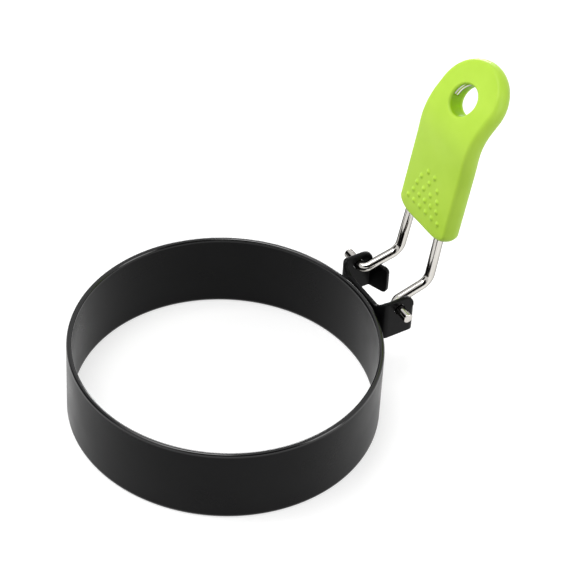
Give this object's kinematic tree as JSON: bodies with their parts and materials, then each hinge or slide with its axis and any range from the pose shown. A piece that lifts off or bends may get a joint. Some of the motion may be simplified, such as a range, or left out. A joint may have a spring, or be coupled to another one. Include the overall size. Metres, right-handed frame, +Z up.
{
  "type": "egg ring",
  "caption": "Round coated metal egg ring with an upright wire handle that folds down on a side bracket, and a soft flat grip with raised dots and a hanging hole.",
  "frame": {"origin": "middle of the part's bounding box in X and Y, on the plane that the ring's lower rim stands on", "axes": "+Z up; +X from the ring towards its handle; +Y to the left when looking along +X"},
  "size_m": [0.1464, 0.1, 0.1021],
  "materials": {
    "coating": "near-black satin non-stick coating on steel, with soft grey reflections",
    "wire": "polished bright steel wire",
    "grip": "lime green soft silicone, satin"
  },
  "bodies": {
    "ring": {"ring_band": "coating", "hinge_bracket": "coating"},
    "handle": {"wire_handle": "wire", "grip": "grip"}
  },
  "joints": [
    {"name": "handle_fold", "type": "hinge", "parent": "ring", "child": "handle", "pos_m": [0.03357, 0, 0.0262], "axis": [0, -1, 0], "range_deg": [0, 120]}
  ]
}
